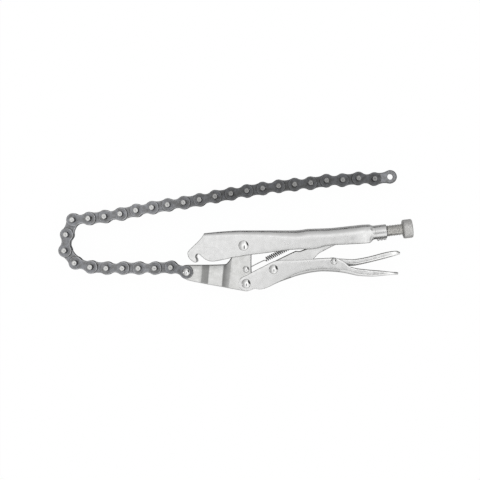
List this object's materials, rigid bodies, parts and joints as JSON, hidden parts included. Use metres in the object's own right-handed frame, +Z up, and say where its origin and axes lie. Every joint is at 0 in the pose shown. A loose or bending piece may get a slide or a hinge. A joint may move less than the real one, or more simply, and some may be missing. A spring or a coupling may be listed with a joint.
{
  "type": "chain clamp",
  "caption": "Locking chain clamp lying flat: toggle plier with a hooked nose, hinged jaw and adjusting screw, and a flat link chain with long pins, riveted to the jaw.",
  "frame": {"origin": "centre of the part's box, at the level that it lies on", "axes": "+X from the chain's bend towards the adjusting knob, +Y from the lower handle towards the upper one, +Z up through the tool's thickness, as it lies flat on a bench"},
  "size_m": [0.3516, 0.1198, 0.0206],
  "materials": {
    "plated_sheet": "bright nickel plate over pressed sheet steel, lightly brushed",
    "rivet_steel": "bright plated domed rivet heads",
    "chain_steel": "dark oiled chain plates with bright pin ends",
    "end_link_steel": "lighter grey plates, worn paler",
    "screw_steel": "dull grey rolled thread",
    "knob_steel": "warm grey knurled steel",
    "spring_wire": "dark spring wire"
  },
  "bodies": {
    "upper_handle": {"upper_handle": "plated_sheet", "jaw_pivot_rivet": "rivet_steel", "jaw_spring": "spring_wire"},
    "jaw": {"jaw_half_top": "plated_sheet", "jaw_half_bottom": "plated_sheet", "chain_anchor_rivet": "rivet_steel", "spring_pin": "rivet_steel", "jaw_handle_rivet": "rivet_steel"},
    "lower_handle": {"lower_handle": "plated_sheet", "toggle_rivet": "rivet_steel", "lever_rivet": "rivet_steel"},
    "toggle_link": {"toggle_link": "plated_sheet"},
    "release_lever": {"release_lever": "plated_sheet"},
    "adjusting_screw": {"adjusting_screw": "screw_steel"},
    "adjusting_knob": {"adjusting_knob": "knob_steel"},
    "link_01": {"chain_link_01": "chain_steel"},
    "link_02": {"chain_link_02": "chain_steel"},
    "link_03": {"chain_link_03": "chain_steel"},
    "link_04": {"chain_link_04": "chain_steel"},
    "link_05": {"chain_link_05": "chain_steel"},
    "link_06": {"chain_link_06": "chain_steel"},
    "link_07": {"chain_link_07": "chain_steel"},
    "link_08": {"chain_link_08": "chain_steel"},
    "link_09": {"chain_link_09": "chain_steel"},
    "link_10": {"chain_link_10": "chain_steel"},
    "link_11": {"chain_link_11": "chain_steel"},
    "link_12": {"chain_link_12": "chain_steel"},
    "link_13": {"chain_link_13": "chain_steel"},
    "link_14": {"chain_link_14": "chain_steel"},
    "link_15": {"chain_link_15": "chain_steel"},
    "link_16": {"chain_link_16": "chain_steel"},
    "link_17": {"chain_link_17": "chain_steel"},
    "link_18": {"chain_link_18": "chain_steel"},
    "link_19": {"chain_link_19": "chain_steel"},
    "link_20": {"chain_link_20": "chain_steel"},
    "link_21": {"chain_link_21": "chain_steel"},
    "link_22": {"chain_link_22": "chain_steel"},
    "link_23": {"chain_link_23": "chain_steel"},
    "link_24": {"chain_link_24": "chain_steel"},
    "link_25": {"chain_link_25": "chain_steel"},
    "link_26": {"chain_link_26": "chain_steel"},
    "link_27": {"chain_link_27": "chain_steel"},
    "link_28": {"chain_link_28": "chain_steel"},
    "link_29": {"chain_link_29": "chain_steel"},
    "link_30": {"chain_link_30": "end_link_steel"}
  },
  "joints": [
    {"name": "jaw_hinge", "type": "hinge", "parent": "upper_handle", "child": "jaw", "pos_m": [0.00767, -0.01471, 0.0103], "axis": [0, 0, 1], "range_deg": [0, 12], "deforming": ["jaw_spring"]},
    {"name": "lower_handle_hinge", "type": "hinge", "parent": "jaw", "child": "lower_handle", "pos_m": [0.01022, -0.05223, 0.0103], "axis": [0, 0, -1], "range_deg": [0, 46]},
    {"name": "toggle_link_hinge", "type": "hinge", "parent": "lower_handle", "child": "toggle_link", "pos_m": [0.03723, -0.03807, 0.0103], "axis": [0, 0, 1], "range_deg": [0, 48.6]},
    {"name": "release_lever_hinge", "type": "hinge", "parent": "lower_handle", "child": "release_lever", "pos_m": [0.09676, -0.03036, 0.0103], "axis": [0, 0, -1], "range_deg": [0, 14]},
    {"name": "screw_travel", "type": "slide", "parent": "upper_handle", "child": "adjusting_screw", "axis": [0.9936, 0.1132, 0], "range_m": [0, 0.01]},
    {"name": "knob_turn", "type": "hinge", "parent": "adjusting_screw", "child": "adjusting_knob", "pos_m": [0.14927, -0.00047, 0.0103], "axis": [0.9936, 0.1132, 0], "range_deg": [0, 2250]},
    {"name": "chain_pin_01", "type": "hinge", "parent": "jaw", "child": "link_01", "pos_m": [-0.04915, -0.04098, 0.0103], "axis": [0, 0, 1], "range_deg": [-5, 30]},
    {"name": "chain_pin_02", "type": "hinge", "parent": "link_01", "child": "link_02", "pos_m": [-0.06433, -0.03634, 0.0103], "axis": [0, 0, -1], "range_deg": [-30, 5]},
    {"name": "chain_pin_03", "type": "hinge", "parent": "link_02", "child": "link_03", "pos_m": [-0.08019, -0.03717, 0.0103], "axis": [0, 0, 1], "range_deg": [-5, 30]},
    {"name": "chain_pin_04", "type": "hinge", "parent": "link_03", "child": "link_04", "pos_m": [-0.09606, -0.03717, 0.0103], "axis": [0, 0, -1], "range_deg": [-30, 5]},
    {"name": "chain_pin_05", "type": "hinge", "parent": "link_04", "child": "link_05", "pos_m": [-0.11194, -0.03717, 0.0103], "axis": [0, 0, 1], "range_deg": [-5, 30]},
    {"name": "chain_pin_06", "type": "hinge", "parent": "link_05", "child": "link_06", "pos_m": [-0.12781, -0.03717, 0.0103], "axis": [0, 0, -1], "range_deg": [-30, 5]},
    {"name": "chain_pin_07", "type": "hinge", "parent": "link_06", "child": "link_07", "pos_m": [-0.14365, -0.03606, 0.0103], "axis": [0, 0, 1], "range_deg": [-5, 30]},
    {"name": "chain_pin_08", "type": "hinge", "parent": "link_07", "child": "link_08", "pos_m": [-0.15898, -0.03196, 0.0103], "axis": [0, 0, -1], "range_deg": [-30, 5]},
    {"name": "chain_pin_09", "type": "hinge", "parent": "link_08", "child": "link_09", "pos_m": [-0.16919, -0.0198, 0.0103], "axis": [0, 0, 1], "range_deg": [-5, 30]},
    {"name": "chain_pin_10", "type": "hinge", "parent": "link_09", "child": "link_10", "pos_m": [-0.16753, -0.00401, 0.0103], "axis": [0, 0, -1], "range_deg": [-30, 5]},
    {"name": "chain_pin_11", "type": "hinge", "parent": "link_10", "child": "link_11", "pos_m": [-0.16132, 0.01061, 0.0103], "axis": [0, 0, 1], "range_deg": [-5, 30]},
    {"name": "chain_pin_12", "type": "hinge", "parent": "link_11", "child": "link_12", "pos_m": [-0.14551, 0.01199, 0.0103], "axis": [0, 0, -1], "range_deg": [-30, 5]},
    {"name": "chain_pin_13", "type": "hinge", "parent": "link_12", "child": "link_13", "pos_m": [-0.12975, 0.01392, 0.0103], "axis": [0, 0, 1], "range_deg": [-5, 30]},
    {"name": "chain_pin_14", "type": "hinge", "parent": "link_13", "child": "link_14", "pos_m": [-0.11407, 0.01641, 0.0103], "axis": [0, 0, -1], "range_deg": [-30, 7]},
    {"name": "chain_pin_15", "type": "hinge", "parent": "link_14", "child": "link_15", "pos_m": [-0.0986, 0.01998, 0.0103], "axis": [0, 0, 1], "range_deg": [-7, 30]},
    {"name": "chain_pin_16", "type": "hinge", "parent": "link_15", "child": "link_16", "pos_m": [-0.08297, 0.02274, 0.0103], "axis": [0, 0, -1], "range_deg": [-30, 7]},
    {"name": "chain_pin_17", "type": "hinge", "parent": "link_16", "child": "link_17", "pos_m": [-0.06734, 0.02549, 0.0103], "axis": [0, 0, 1], "range_deg": [-7, 30]},
    {"name": "chain_pin_18", "type": "hinge", "parent": "link_17", "child": "link_18", "pos_m": [-0.05162, 0.0277, 0.0103], "axis": [0, 0, -1], "range_deg": [-30, 7]},
    {"name": "chain_pin_19", "type": "hinge", "parent": "link_18", "child": "link_19", "pos_m": [-0.03598, 0.03046, 0.0103], "axis": [0, 0, 1], "range_deg": [-7, 30]},
    {"name": "chain_pin_20", "type": "hinge", "parent": "link_19", "child": "link_20", "pos_m": [-0.02045, 0.03376, 0.0103], "axis": [0, 0, -1], "range_deg": [-30, 11]},
    {"name": "chain_pin_21", "type": "hinge", "parent": "link_20", "child": "link_21", "pos_m": [-0.00482, 0.03652, 0.0103], "axis": [0, 0, 1], "range_deg": [-11, 35]},
    {"name": "chain_pin_22", "type": "hinge", "parent": "link_21", "child": "link_22", "pos_m": [0.01081, 0.03927, 0.0103], "axis": [0, 0, -1], "range_deg": [-35, 11]},
    {"name": "chain_pin_23", "type": "hinge", "parent": "link_22", "child": "link_23", "pos_m": [0.02649, 0.04176, 0.0103], "axis": [0, 0, 1], "range_deg": [-15, 35]},
    {"name": "chain_pin_24", "type": "hinge", "parent": "link_23", "child": "link_24", "pos_m": [0.04221, 0.04396, 0.0103], "axis": [0, 0, -1], "range_deg": [-35, 18]},
    {"name": "chain_pin_25", "type": "hinge", "parent": "link_24", "child": "link_25", "pos_m": [0.058, 0.04562, 0.0103], "axis": [0, 0, 1], "range_deg": [-21, 45]},
    {"name": "chain_pin_26", "type": "hinge", "parent": "link_25", "child": "link_26", "pos_m": [0.07382, 0.04701, 0.0103], "axis": [0, 0, -1], "range_deg": [-45, 26]},
    {"name": "chain_pin_27", "type": "hinge", "parent": "link_26", "child": "link_27", "pos_m": [0.0895, 0.04949, 0.0103], "axis": [0, 0, 1], "range_deg": [-34, 60]},
    {"name": "chain_pin_28", "type": "hinge", "parent": "link_27", "child": "link_28", "pos_m": [0.10536, 0.05005, 0.0103], "axis": [0, 0, -1], "range_deg": [-60, 45]},
    {"name": "chain_pin_29", "type": "hinge", "parent": "link_28", "child": "link_29", "pos_m": [0.12115, 0.05171, 0.0103], "axis": [0, 0, 1], "range_deg": [-75, 75]},
    {"name": "chain_pin_30", "type": "hinge", "parent": "link_29", "child": "link_30", "pos_m": [0.13701, 0.05115, 0.0103], "axis": [0, 0, -1], "range_deg": [-75, 75]}
  ],
  "couplings": [
    {"joint": "lower_handle_hinge", "follows": "jaw_hinge", "ratio": 3.8333},
    {"joint": "toggle_link_hinge", "follows": "jaw_hinge", "ratio": 4.05},
    {"joint": "knob_turn", "follows": "screw_travel", "rad_per_m": 3927}
  ]
}
